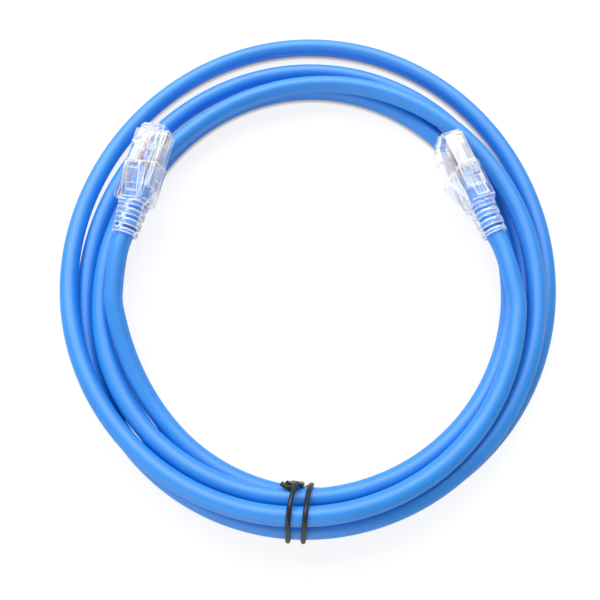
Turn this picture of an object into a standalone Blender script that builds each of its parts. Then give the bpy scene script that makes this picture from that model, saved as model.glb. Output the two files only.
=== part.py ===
# Coiled ethernet patch cable: one jacketed cable wound in loose turns under a wire tie, with a
# clear eight-way modular plug and a clear boot on each end. Metres, +Z up. The coil lies on z = 0.
#
# Each plug is drawn in its own frame: +Y runs out along the cable and through the nose, +Z is the
# side of the latch, and y = 0 is the free end of the boot.
from math import ceil, cos, floor, pi, radians, sin, sqrt

import bmesh
import bpy
import numpy as np
from mathutils import Matrix, Vector

MM = 0.001

# ---- cable and coil ----
CORD_D = 5.9 * MM            # outside of the jacket
TURN_GAP = 0.5 * MM          # least air between neighbouring turns
RING_HALF_X = 79.5 * MM      # half axes of the outermost turn's centre line
RING_HALF_Y = 85.9 * MM
FLAT_SHARE = 0.1             # share of the diameter that the resting turns lose to the floor
STEP_DEG = 15                # 24 points a turn
EASE_SWEEPS = 180            # passes that settle the turns against one another
SQUEEZE = 0.85               # the jacket's width inside the plug, where the crimp holds it
PLUG_STANDOFF = 0.8 * MM     # it narrows this far clear of the plug's tail and the boot's throat

# ---- wire tie ----
TIE_D = 1.5 * MM
TIE_GAP = 0.35 * MM          # between the tie and the turns that it holds
TIE_CLOCK_DEG = 182.6        # where round the coil the tie sits
TIE_LIFT = 0.43              # how far the tie lifts the bundle, in turn pitches
TIE_LIFT_SPAN_DEG = 45.0     # to each side of the tie, over which the lift fades

# ---- plug housing ----
PLUG_W = 11.68 * MM
PLUG_H = 6.5 * MM
PLUG_L = 21.46 * MM
NOSE_W = 8.6 * MM            # the middle of the nose stands ahead of its shoulders
NOSE_STEP = 1.8 * MM
HOUSING_BEVEL = 0.25 * MM
TAIL_W = 10.4 * MM           # the narrower tail that the boot slides over
MOUTH_W = 7.2 * MM           # cable mouth
MOUTH_H = 5.6 * MM
HALL_W = 9.4 * MM            # room where the wires fan out
HALL_H = 5.1 * MM
ROOT_W = 6.1 * MM            # nose lip that the latch grows from
ROOT_L = 0.8 * MM
ROOT_H = 0.9 * MM

# ---- contacts and wires ----
WAYS = 8
WAY_PITCH = 1.02 * MM
SLOT_W = 0.62 * MM
SLOT_L = 5.6 * MM            # from the nose back
BLADE_T = 0.32 * MM
BLADE_L = 3.4 * MM
BLADE_INSET = 1.9 * MM       # behind the nose
BLADE_SUNK = 0.2 * MM        # below the contact face
BLADE_GAP = 0.08 * MM        # between the blade's teeth and the wire
WIRE_D = 0.8 * MM
WIRE_ROW_Z = -0.2 * MM       # height of the row of wires over the plug's middle
WIRE_ROOM = 0.25 * MM        # over and under the row
WIRE_FRONT_WALL = 1.6 * MM   # plastic left ahead of the wires
WIRE_END_GAP = 0.3 * MM      # between wires and jacket, and wires and front wall
PAIR_X = (0.85 * MM, 1.85 * MM)
PAIR_Z = 1.1 * MM
JACKET_INSET = 15.0 * MM     # the jacket ends this far behind the nose

# ---- load bar ----
BAR_L = 2.8 * MM
BAR_BACK = 9.0 * MM          # its rear face, behind the nose
BAR_HOLE_D = 1.0 * MM
ROUND = 0.49                 # corner of a round hole or end, as a share of its width
BAR_STAGGER = 0.42 * MM      # holes lie alternately this far over and under the row
BAR_GAP = 0.15 * MM          # to the housing's walls

# ---- latch ----
LATCH_T = 0.9 * MM
LATCH_W = 6.1 * MM           # from the root to the locking shoulders
LEVER_W = 3.2 * MM
LATCH_GAP = 0.15 * MM
LATCH_RISE_L = 3.4 * MM      # how far back the root's bend runs
LATCH_RISE_H = 2.15 * MM
SHOULDER_BACK = 7.6 * MM
SHOULDER_H = 0.6 * MM        # locking wedge on the outer side
LEVER_L = 15.0 * MM
LEVER_H = 4.35 * MM          # the lever's end above the hinge
BEND_SHARE = 0.62            # of the rise, where the root's bend is sharpest
BEND_SWELL = 0.14            # of the rise's height that the bend stands up

# ---- boot ----
BOOT_WALL = 0.7 * MM
BOOT_GAP = 0.25 * MM         # round the housing's tail
RELIEF_GAP = 0.3 * MM        # round the jacket
RELIEF_L = 11.0 * MM
RELIEF_END_D = 8.1 * MM
RELIEF_ROOT_W = 9.5 * MM
RELIEF_ROOT_H = 8.4 * MM
RELIEF_ROUND = (0.42, 0.34)  # corners at its end and root, as shares of their height
HOOD_L = 14.0 * MM
HOOD_BACK_WALL = 0.8 * MM
HOOD_CORNER = 1.5 * MM
HOOD_CHAMFER = 0.9 * MM
NOSE_OUT = 13.5 * MM         # nose ahead of the hood
RELIEF_SLOT_L = 1.2 * MM
RELIEF_SLOT_PITCH = 3.4 * MM
RELIEF_SLOTS = 3
RELIEF_FIRST = 0.68          # of a pitch from the free end to the first slot's middle
RELIEF_RIB = 1.3 * MM        # web between the left and right slots
RELIEF_SHIFT = 0.3 * MM      # the right slots lie this far behind the left ones
GUARD_T = 0.8 * MM           # rails beside the lever and the ramp behind it
GUARD_SIDE_GAP = 0.6 * MM    # between lever and rail
GUARD_PEAK_H = 7.9 * MM      # over the plug's middle
GUARD_FRONT_H = 5.2 * MM
GUARD_TIP_GAP = 0.6 * MM     # behind the pressed lever

# ---- where each plug lies: clock, lane and layer of the boot's free end and of the nose's
# direction, and how far the latch is rolled from straight up towards -X ----
PLUG_PLACES = {
    "a": dict(boot=(274.2, 3.0, 2.24), nose=(309.28, 2.5, 2.65), roll=15.0),
    "b": dict(boot=(84.6, 2.91, 1.78), nose=(48.48, 2.976, 1.696), roll=88.0),
}

# The route round the coil, read off by hand: degrees of clock from +Y towards +X, and lanes of one
# pitch in from the outermost turn, for one turn after another.
LANES = (
    ((84.6, 2.91), (90, 2.65), (105, 1.87), (120, 1.07), (135, .83), (150, .72), (180, .48),
     (210, .07), (225, -.03), (240, -.04), (270, .07), (300, .08), (330, .09)),
    ((0, -.06), (30, -.11), (60, .09), (90, -.04), (105, -.13), (120, -.13), (150, .09),
     (180, .35), (195, .46), (210, .6), (225, .72), (235, .9), (245, 1.3), (255, 1.8),
     (270, 2.24), (285, 2.5), (300, 2.68), (330, 3.08), (350, 3.15)),
    ((0, 3.05), (20, 2.85), (45, 2.62), (60, 2.55), (75, 2.35), (90, 2.15), (100, 1.9),
     (110, 1.67), (120, 1.56), (150, 1.54), (180, 1.45), (188, 1.05), (200, .8), (215, .71),
     (230, .9), (250, 1.3), (260, 1.5), (270, 1.92), (285, 2.45), (300, 2.9), (315, 3.4),
     (340, 3.73), (350, 3.64)),
    ((0, 3.53), (12, 3.2), (22, 2.75), (33, 2.34), (45, 1.93), (57, 1.64), (67, 1.32),
     (80, .98), (100, .6), (120, .3), (150, .12), (180, 0), (190, -.12), (205, -.23),
     (225, -.2), (240, .02), (255, .35), (270, .7), (285, 1.05), (300, 1.3), (330, 1.75)),
    ((0, 1.88), (15, 1.72), (32, 1.44), (45, 1.37), (55, 1.38), (65, 1.42), (76, 1.32),
     (87, 1.19), (98, 1.0), (108, .86), (120, .85), (137, .92), (155, 1.08), (178, 1.3),
     (188, 1.48), (197, 1.42), (205, 1.5), (222, 1.72), (231, 1.82), (240, 1.97),
     (248, 2.17), (258, 2.44), (268, 2.74), (274.2, 3.0)),
)

# Height along the same route, in layers of one pitch above the turns that rest on the floor.
LAYERS = (
    ((84.6, 1.78), (112, 1.81), (190, 1.78), (204, 1.75), (213, 1.65), (222, 1.42),
     (231, 1.1), (241, .99), (251, .88), (262, .72), (273, .5), (284, .19), (295, 0)),
    ((0, 0), (180, 0)),
    ((0, 0), (77, 0), (88, .16), (99, .63), (110, .76), (120, .82), (138, .83), (156, .88),
     (172, .96), (196, .98), (218, 1.0), (240, .96), (250, .88), (261, .76), (271, .85),
     (281, .91), (303, .98), (338, .99)),
    ((0, .98), (22, .91), (45, .99), (56, .98), (67, .9), (82, .85), (99, .9), (119, .98),
     (164, .99), (179, .94), (188, .82), (197, .72), (205, .58), (214, .33), (223, .13),
     (233, 0)),
    ((0, 0), (222, 0), (231, .2), (239, .85), (247, 1.56), (257, 1.88), (268, 2.12),
     (274.2, 2.24)),
)

# The tie's path round the bundle: degrees from the inner side over the top, then in tie diameters
# its place along the bundle and how far it stands off beyond its own gap. It runs two turns
# downwards from one loose tail to the other.
TIE_PATH = (
    (50, -5.73, .67), (30, -4.8, .27), (0, -4.27, 0), (-45, -4.2, 0), (-90, -4.27, 0),
    (-180, -4.4, 0), (-225, -4.6, 0), (-270, -4.67, 0), (-300, -4.2, 0), (-330, -3.0, 0),
    (-345, -2.13, 0), (-360, -1.73, 0), (-390, -1.47, 0), (-450, -1.47, 0), (-540, -1.47, 0),
    (-585, -1.47, 0), (-630, -1.33, 0), (-660, -1.07, 0), (-690, -.47, 0), (-705, -.07, 0),
    (-720, .2, .13), (-735, 0, .93),
)
TIE_TAIL = ((-742, -1.07, 1.53), (-742, -2.13, 1.53), (-730, -2.93, 1.4), (-712, -3.33, 1.33),
            (-690, -3.73, 1.4), (-670, -4.67, 1.67))

# ---- colours: sRGB, roughness, metallic, and how clear the plastic is ----
FINISHES = {
    "jacket": ("3d86ea", .5, 0, 0),
    "tie": ("23252b", .55, 0, 0),
    "clear": ("eef3f8", .08, 0, .92),
    "boot": ("e8eef6", .2, 0, .85),
    "gold": ("d8a848", .25, 1, 0),
    "white_orange": ("f2d3ae", .5, 0, 0),
    "orange": ("e08030", .5, 0, 0),
    "white_green": ("d2ead0", .5, 0, 0),
    "blue": ("3566c8", .5, 0, 0),
    "white_blue": ("c9d8f0", .5, 0, 0),
    "green": ("3f9e5c", .5, 0, 0),
    "white_brown": ("ddccbc", .5, 0, 0),
    "brown": ("6b4a38", .5, 0, 0),
}
WIRE_COLOURS = ("white_orange", "orange", "white_green", "blue", "white_blue", "green",
                "white_brown", "brown")

PITCH = CORD_D + TURN_GAP
SEAT_Z = (0.5 - FLAT_SHARE) * CORD_D     # centre of a turn that rests on the floor
NOSE_Y = RELIEF_L + HOOD_L + NOSE_OUT
TAIL_Y = NOSE_Y - PLUG_L
HOOD_Y = RELIEF_L + HOOD_L               # the hood's open front
HOOD_THROAT_Y = RELIEF_L + HOOD_BACK_WALL
JACKET_END_Y = NOSE_Y - JACKET_INSET
HINGE_Y = NOSE_Y - ROOT_L - LATCH_GAP - LATCH_T / 2
HINGE_Z = PLUG_H / 2 + LATCH_GAP + LATCH_T / 2


def clear_scene():
    for item in list(bpy.data.objects):
        bpy.data.objects.remove(item, do_unlink=True)


def linear(channel):
    return channel / 12.92 if channel <= 0.04045 else ((channel + 0.055) / 1.055) ** 2.4


def finish(name):
    """A plain Principled material for one of the FINISHES."""
    if name in bpy.data.materials:
        return bpy.data.materials[name]
    code, roughness, metallic, clearness = FINISHES[name]
    colour = [linear(int(code[k:k + 2], 16) / 255) for k in (0, 2, 4)] + [1]
    material = bpy.data.materials.new(name)
    material.use_nodes = True
    shader = material.node_tree.nodes["Principled BSDF"]
    shader.inputs["Base Color"].default_value = colour
    shader.inputs["Roughness"].default_value = roughness
    shader.inputs["Metallic"].default_value = metallic
    shader.inputs["Transmission Weight"].default_value = clearness
    material.diffuse_color = colour
    return material


def add_object(name, data, material, parent):
    item = bpy.data.objects.new(name, data)
    bpy.context.scene.collection.objects.link(item)
    item.parent = parent
    if material:
        data.materials.append(finish(material))
    return item


def add_empty(name, parent=None, matrix=None):
    empty = bpy.data.objects.new(name, None)
    bpy.context.scene.collection.objects.link(empty)
    empty.parent = parent
    if matrix:
        empty.matrix_local = matrix
    return empty


# ---- solids ----

def loft(rings, smooth_angle=None):
    """A closed mesh through rings of equally many points, each wound the same way."""
    mesh = bpy.data.meshes.new("loft")
    build = bmesh.new()
    rows = [[build.verts.new(point) for point in ring] for ring in rings]
    count = len(rows[0])
    for row, following in zip(rows, rows[1:]):
        for k in range(count):
            after = (k + 1) % count
            build.faces.new((row[k], row[after], following[after], following[k]))
    build.faces.new(list(reversed(rows[0])))
    build.faces.new(rows[-1])
    bmesh.ops.recalc_face_normals(build, faces=build.faces)
    build.to_mesh(mesh)
    build.free()
    if smooth_angle:
        mesh.shade_smooth()
        mesh.set_sharp_from_angle(angle=radians(smooth_angle))
    return mesh


def prism(outline, axis, low, high):
    """An outline of pairs, drawn square to an axis and pushed out along it from low to high."""
    others = [k for k in range(3) if k != axis]
    rings = []
    for place in (low, high):
        ring = []
        for pair in outline:
            point = [0, 0, 0]
            point[axis] = place
            point[others[0]], point[others[1]] = pair
            ring.append(point)
        rings.append(ring)
    return loft(rings)


def joined(meshes):
    """Several separate closed meshes as one, for a cutter that makes a row of cuts."""
    build = bmesh.new()
    for mesh in meshes:
        build.from_mesh(mesh)
    whole = bpy.data.meshes.new("row")
    build.to_mesh(whole)
    build.free()
    return whole


def box(x, y, z):
    corners = ((x[0], z[0]), (x[1], z[0]), (x[1], z[1]), (x[0], z[1]))
    return prism(corners, 1, *y)


def rounded_ring(y, width, height, corner, middle_z=0.0, steps=5):
    """A rounded rectangle square to Y, with the same number of points for any corner."""
    ring = []
    for quarter in range(4):
        side_x = (1, -1, -1, 1)[quarter]
        side_z = (1, 1, -1, -1)[quarter]
        for k in range(steps + 1):
            turn = radians(90 * (quarter + k / steps))
            x = side_x * (width / 2 - corner) + corner * cos(turn)
            z = side_z * (height / 2 - corner) + corner * sin(turn)
            ring.append((x, y, middle_z + z))
    return ring


def plain_ring(y, width, height, middle_z=0.0):
    half_w, half_h = width / 2, height / 2
    return [(x, y, middle_z + z)
            for x, z in ((half_w, half_h), (-half_w, half_h), (-half_w, -half_h), (half_w, -half_h))]


def combine(target, tool_mesh, operation, name):
    """A live Boolean with its own hidden tool object."""
    tool = add_object(name, tool_mesh, None, target.parent)
    tool.matrix_local = target.matrix_local
    tool.hide_render = True
    tool.display_type = "WIRE"
    modifier = target.modifiers.new(name, "BOOLEAN")
    modifier.operation = operation
    modifier.object = tool
    modifier.solver = "EXACT"
    return tool


def tube(name, points, diameter, material, parent, radii=None, sides=1):
    """A round tube with flat ends through points, as a curve; sides 1 gives six faces round."""
    data = bpy.data.curves.new(name, "CURVE")
    data.dimensions = "3D"
    data.twist_mode = "Z_UP"
    data.bevel_depth = diameter / 2
    data.bevel_resolution = sides
    data.use_fill_caps = True
    spline = data.splines.new("POLY")
    spline.points.add(len(points) - 1)
    for k, point in enumerate(points):
        spline.points[k].co = (*point, 1)
        spline.points[k].radius = radii[k] if radii else 1.0
    spline.use_smooth = True
    return add_object(name, data, material, parent)


# ---- the route of the cable ----

def read_rows(rows, place):
    """Smooth value at a place on hand-chosen rows of (place, value)."""
    places = [row[0] for row in rows]
    if place <= places[0]:
        return rows[0][1]
    if place >= places[-1]:
        return rows[-1][1]
    k = max(n for n in range(len(rows) - 1) if places[n] <= place)

    def slope(n):
        low, high = max(n - 1, 0), min(n + 1, len(rows) - 1)
        return (rows[high][1] - rows[low][1]) / (places[high] - places[low])

    span = places[k + 1] - places[k]
    t = (place - places[k]) / span
    start, end = rows[k][1], rows[k + 1][1]
    return ((2 * t ** 3 - 3 * t ** 2 + 1) * start + (t ** 3 - 2 * t ** 2 + t) * span * slope(k)
            + (3 * t ** 2 - 2 * t ** 3) * end + (t ** 3 - t ** 2) * span * slope(k + 1))


def whole_route(rows_by_turn):
    return [(360 * turn + clock, value) for turn, rows in enumerate(rows_by_turn)
            for clock, value in rows]


def tie_lift(clock):
    away = min(abs(clock % 360 - TIE_CLOCK_DEG) / TIE_LIFT_SPAN_DEG, 1)
    return TIE_LIFT * cos(away * pi / 2) ** 2


def ring_point(clock, lane, layer):
    """Where a lane and a layer of the coil lie at a clock angle."""
    turn = radians(clock)
    outer = 1 / sqrt((sin(turn) / RING_HALF_X) ** 2 + (cos(turn) / RING_HALF_Y) ** 2)
    reach = outer - lane * PITCH
    return Vector((reach * sin(turn), reach * cos(turn), SEAT_Z + layer * PITCH))


def eased_turns():
    """Lane and layer at every STEP_DEG, moved as little as keeps all turns one pitch apart."""
    lanes, layers = whole_route(LANES), whole_route(LAYERS)
    first = ceil((lanes[0][0] + STEP_DEG / 2) / STEP_DEG) * STEP_DEG
    last = floor((lanes[-1][0] - STEP_DEG / 2) / STEP_DEG) * STEP_DEG
    clocks = list(range(first, last + 1, STEP_DEG))
    spots = np.array([(read_rows(lanes, c), max(read_rows(layers, c), 0)) for c in clocks])
    a_turn = 360 // STEP_DEG
    pairs = [(one, other) for one in range(len(clocks))
             for other in range(one + a_turn, len(clocks), a_turn)]
    for sweep in range(EASE_SWEEPS):
        if sweep < EASE_SWEEPS * 2 / 3 and sweep % 3 == 0:
            spots[1:-1] = 0.9 * spots[1:-1] + 0.05 * (spots[:-2] + spots[2:])
        for one, other in pairs:
            after = 1 if other + 1 < len(clocks) else 0
            for share in (0, 0.25, 0.5, 0.75):       # from this point towards the next
                apart = ((1 - share) * (spots[one] - spots[other])
                         + share * (spots[one + after] - spots[other + after]))
                reach = float(np.hypot(*apart))
                if reach < 1:
                    push = apart / reach * (1 - reach) / 2
                    for k, part in ((0, 1 - share), (after, share)):
                        spots[one + k] += push * part
                        spots[other + k] -= push * part
        spots[:, 1] = np.maximum(spots[:, 1], 0)
    return clocks, spots


def plug_matrix(place):
    """The plug's frame in the coil: out towards the nose's spot, then rolled towards -X."""
    start, roll = ring_point(*place["boot"]), radians(place["roll"])
    out = (ring_point(*place["nose"]) - start).normalized()
    level = out.cross(Vector((0, 0, 1))).normalized()
    upright = level.cross(out).normalized()
    latch_way = upright * cos(roll) - level * sin(roll)
    across = out.cross(latch_way)
    turn = Matrix((across, out, latch_way)).transposed().to_4x4()
    return Matrix.Translation(start) @ turn


def cable_route(frames):
    """Points of the jacket from plug b round the coil to plug a, with each point's width."""
    clocks, spots = eased_turns()
    turns = [ring_point(c, lane, layer + tie_lift(c)) for c, (lane, layer) in zip(clocks, spots)]
    inside = ((JACKET_END_Y, SQUEEZE), (TAIL_Y - PLUG_STANDOFF, SQUEEZE),
              (HOOD_THROAT_Y + PLUG_STANDOFF, 1.0), (0.0, 1.0), (-CORD_D, 1.0))
    start = [(frames["b"] @ Vector((0, y, 0)), width) for y, width in inside]
    end = [(frames["a"] @ Vector((0, y, 0)), width) for y, width in reversed(inside)]
    route = start + [(point, 1.0) for point in turns] + end
    return [point for point, _ in route], [width for _, width in route], turns, clocks


def finer(points, pieces=8):
    fine = []
    for here, there in zip(points, points[1:]):
        fine += [here.lerp(there, k / pieces) for k in range(pieces)]
    return fine + [points[-1]]


def least_gap(points, diameter):
    """Least air between stretches of one tube that lie over three diameters apart along it."""
    fine = np.array([tuple(p) for p in finer(points)])
    steps = np.linalg.norm(np.diff(fine, axis=0), axis=1)
    along = np.concatenate(([0.0], np.cumsum(steps)))
    gaps = np.linalg.norm(fine[:, None] - fine[None], axis=2)
    gaps[np.abs(along[:, None] - along[None]) < 3 * diameter] = np.inf
    where = np.unravel_index(np.argmin(gaps), gaps.shape)
    return gaps[where] - diameter, fine[where[0]], along[-1]


def make_cable(parent, points, widths):
    curve = tube("jacket_path", points, CORD_D, None, parent, widths)
    bpy.context.view_layer.update()
    shape = curve.evaluated_get(bpy.context.evaluated_depsgraph_get())
    mesh = bpy.data.meshes.new_from_object(shape)
    bpy.data.objects.remove(curve, do_unlink=True)
    jacket = add_object("cable_jacket", mesh, "jacket", parent)
    reach = 2 * max(RING_HALF_X, RING_HALF_Y)
    below = box((-reach, reach), (-reach, reach), (-CORD_D, 0.0))
    combine(jacket, below, "DIFFERENCE", "floor_cut")
    return jacket


# ---- the wire tie ----

def bundle_section(turns, clocks, along):
    """The turns' centres where the plane at this place along the bundle cuts them: (y, z)."""
    centres = []
    for (point, clock), after in zip(zip(turns, clocks), turns[1:]):
        if clock % 360 in (165, 180, 195) and after.x <= along < point.x:
            spot = point.lerp(after, (point.x - along) / (point.x - after.x))
            centres.append((spot.y, spot.z))
    return centres


def tie_point(turns, clocks, turn, along, extra):
    """Where the tie passes: on the bundle's outline, pushed out by its own radius and gap."""
    way = (cos(radians(turn)), sin(radians(turn)))
    centres = bundle_section(turns, clocks, along)
    y, z = max(centres, key=lambda c: c[0] * way[0] + c[1] * way[1])
    out = CORD_D / 2 + TIE_GAP + TIE_D / 2 + extra
    return Vector((along, y + way[0] * out, z + way[1] * out))


def make_tie(parent, turns, clocks):
    points = []
    places = [(-row[0], row[1]) for row in TIE_PATH]
    extras = [(-row[0], row[2]) for row in TIE_PATH]
    for turn in range(int(places[0][0]), int(places[-1][0]) + 1, STEP_DEG):
        along = read_rows(places, turn) * TIE_D
        extra = max(read_rows(extras, turn), 0) * TIE_D
        points.append(tie_point(turns, clocks, -turn, along, extra))
    for turn, along, extra in TIE_TAIL:
        points.append(tie_point(turns, clocks, turn, along * TIE_D, extra * TIE_D))
    tube("wire_tie", points, TIE_D, "tie", parent)
    return points


# ---- plug pieces, each drawn in the plug's frame ----

def way_x(way):
    return (way - (WAYS - 1) / 2) * WAY_PITCH


def make_housing(key, frame):
    half_w, half_nose, half_tail = PLUG_W / 2, NOSE_W / 2, TAIL_W / 2
    step_y = NOSE_Y - NOSE_STEP
    shoulder_y = HOOD_Y + BOOT_GAP
    right = [(half_tail, TAIL_Y), (half_tail, shoulder_y - BOOT_GAP), (half_w, shoulder_y),
             (half_w, step_y), (half_nose, step_y), (half_nose, NOSE_Y)]
    outline = right + [(-x, y) for x, y in reversed(right)]
    housing = add_object(f"plug_{key}_housing", prism(outline, 2, -PLUG_H / 2, PLUG_H / 2),
                         "clear", frame)
    bevel = housing.modifiers.new("edges", "BEVEL")
    bevel.width = HOUSING_BEVEL
    bevel.segments = 1
    bevel.limit_method = "ANGLE"

    root = box((-ROOT_W / 2, ROOT_W / 2), (NOSE_Y - ROOT_L, NOSE_Y - HOUSING_BEVEL),
               (PLUG_H / 2 - ROOT_L / 2, PLUG_H / 2 + ROOT_H))
    combine(housing, root, "UNION", f"root_{key}")

    hall_back, hall_front = NOSE_Y - NOSE_OUT, NOSE_Y - SLOT_L
    slope = HOUSING_BEVEL
    row_w = WAYS * WAY_PITCH + WIRE_ROOM
    row_h = WIRE_D + 2 * WIRE_ROOM
    hall = loft([plain_ring(TAIL_Y - slope, MOUTH_W, MOUTH_H),
                 plain_ring(hall_back, MOUTH_W, MOUTH_H),
                 plain_ring(hall_back + slope, HALL_W, HALL_H),
                 plain_ring(hall_front - 2 * slope, HALL_W, HALL_H),
                 plain_ring(hall_front - slope, row_w, row_h, WIRE_ROW_Z),
                 plain_ring(NOSE_Y - WIRE_FRONT_WALL, row_w, row_h, WIRE_ROW_Z)])
    combine(housing, hall, "DIFFERENCE", f"hall_{key}")

    slot_top = WIRE_ROW_Z - row_h / 2 + WIRE_ROOM / 4
    slots = [box((way_x(n) - SLOT_W / 2, way_x(n) + SLOT_W / 2), (hall_front, NOSE_Y + SLOT_W),
                 (-PLUG_H, slot_top)) for n in range(WAYS)]
    combine(housing, joined(slots), "DIFFERENCE", f"slots_{key}")
    return housing


def make_contacts(key, frame):
    """Flat blades with two teeth towards their wire and a rounded front corner."""
    front, back = NOSE_Y - BLADE_INSET, NOSE_Y - BLADE_INSET - BLADE_L
    low = -PLUG_H / 2 + BLADE_SUNK
    high = WIRE_ROW_Z - WIRE_D / 2 - BLADE_GAP
    neck = high - WIRE_D / 2
    round_r = BLADE_L / 5
    corner = [(front - round_r + round_r * sin(radians(a)), low + round_r - round_r * cos(radians(a)))
              for a in (0, 30, 60, 90)]
    third = BLADE_L / 3
    outline = [(back, low)] + corner + [
        (front, neck), (front - third / 2, high), (front - third, neck),
        (back + third, neck), (back + third / 2, high), (back, neck)]
    for n in range(WAYS):
        blade = prism(outline, 0, way_x(n) - BLADE_T / 2, way_x(n) + BLADE_T / 2)
        add_object(f"plug_{key}_contact_{n + 1}", blade, "gold", frame)


def bar_hole_z(way):
    return WIRE_ROW_Z + (BAR_STAGGER if way % 2 else -BAR_STAGGER)


def make_load_bar(key, frame):
    back = NOSE_Y - BAR_BACK
    width = HALL_W - 2 * BAR_GAP
    height = HALL_H - 2 * BAR_GAP
    bar = add_object(f"plug_{key}_load_bar",
                     loft([rounded_ring(back, width, height, BAR_HOLE_D / 2, steps=2),
                           rounded_ring(back + BAR_L, width, height, BAR_HOLE_D / 2, steps=2)]),
                     "clear", frame)
    holes = []
    for n in range(WAYS):
        ends = [rounded_ring(y, BAR_HOLE_D, BAR_HOLE_D, BAR_HOLE_D * ROUND, bar_hole_z(n), 2)
                for y in (back - BAR_L, back + 2 * BAR_L)]
        holes.append(loft([[(x + way_x(n), y, z) for x, y, z in ring] for ring in ends]))
    combine(bar, joined(holes), "DIFFERENCE", f"bar_holes_{key}")


def pair_start(way):
    """Where a wire leaves the jacket: four twisted pairs in a square."""
    side = -1 if way < WAYS / 2 else 1
    inner = WAYS / 4 <= way < WAYS * 3 / 4
    x = side * (PAIR_X[0] if inner else PAIR_X[1])
    return x, (PAIR_Z if way % 2 else -PAIR_Z)


def make_wires(key, frame):
    for n in range(WAYS):
        x0, z0 = pair_start(n)
        x1, z1 = way_x(n), bar_hole_z(n)
        start, back = JACKET_END_Y + WIRE_END_GAP, NOSE_Y - BAR_BACK
        fan = back - start
        bar_front, row_y = back + BAR_L, NOSE_Y - SLOT_L + WIRE_END_GAP
        end = NOSE_Y - WIRE_FRONT_WALL - WIRE_END_GAP
        points = [(x0, start, z0)]
        for share in (0.2, 0.4, 0.6, 0.8):
            ease = share * share * (3 - 2 * share)
            points.append((x0 + (x1 - x0) * ease, start + fan * share * 0.9, z0 + (z1 - z0) * ease))
        points += [(x1, start + fan * 0.9, z1), (x1, bar_front + WIRE_END_GAP / 2, z1),
                   (x1, row_y, WIRE_ROW_Z), (x1, end, WIRE_ROW_Z)]
        tube(f"plug_{key}_wire_{n + 1}", points, WIRE_D, WIRE_COLOURS[n], frame)


def strap_ring(spot, way, width, low, high):
    """A rectangle square to the latch's line at a spot (y, z), the way running back."""
    along = Vector(way).normalized()
    up = Vector((along.y, -along.x))
    bottom, top = Vector(spot) + up * low, Vector(spot) + up * high
    half = width / 2
    return [(half, top.x, top.y), (-half, top.x, top.y), (-half, bottom.x, bottom.y),
            (half, bottom.x, bottom.y)]


def make_latch(key, frame):
    """One bent strap from a round root at the nose: wide to its locking shoulders, then a lever."""
    half = LATCH_T / 2
    rings = []
    for a in (80, 50, 20):
        ahead, tall = half * sin(radians(a)), half * cos(radians(a))
        rings.append(strap_ring((ahead, 0), (-1, 0), LATCH_W, -tall, tall))
    rise = Vector((-LATCH_RISE_L, LATCH_RISE_H))
    shoulder_t = (SHOULDER_BACK - LATCH_RISE_L) / (LEVER_L - LATCH_RISE_L)
    tip = Vector((-LEVER_L, LEVER_H))
    shoulder = rise.lerp(tip, shoulder_t)
    line = tip - rise
    bend = rise * BEND_SHARE + Vector((0, LATCH_RISE_H * BEND_SWELL))
    rings.append(strap_ring(rise * BEND_SHARE / 2, rise, LATCH_W, -half, half))
    rings.append(strap_ring(bend, rise + line.normalized() * rise.length, LATCH_W, -half, half))
    rings.append(strap_ring(rise, line, LATCH_W, -half, half))
    rings.append(strap_ring(shoulder - line.normalized() * half, line, LATCH_W, -half,
                            half + SHOULDER_H))
    rings.append(strap_ring(shoulder, line, LATCH_W, -half, half + SHOULDER_H))
    neck = shoulder + line.normalized() * LATCH_GAP
    rings.append(strap_ring(neck, line, LEVER_W, -half, half))
    rings.append(strap_ring(tip - line.normalized() * half, line, LEVER_W, -half, half))
    rings.append(strap_ring(tip, line, LEVER_W - half, -half / 2, half / 2))
    latch = add_object(f"plug_{key}_latch", loft(rings), "clear", frame)
    latch.location = (0, HINGE_Y, HINGE_Z)
    return latch


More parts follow.
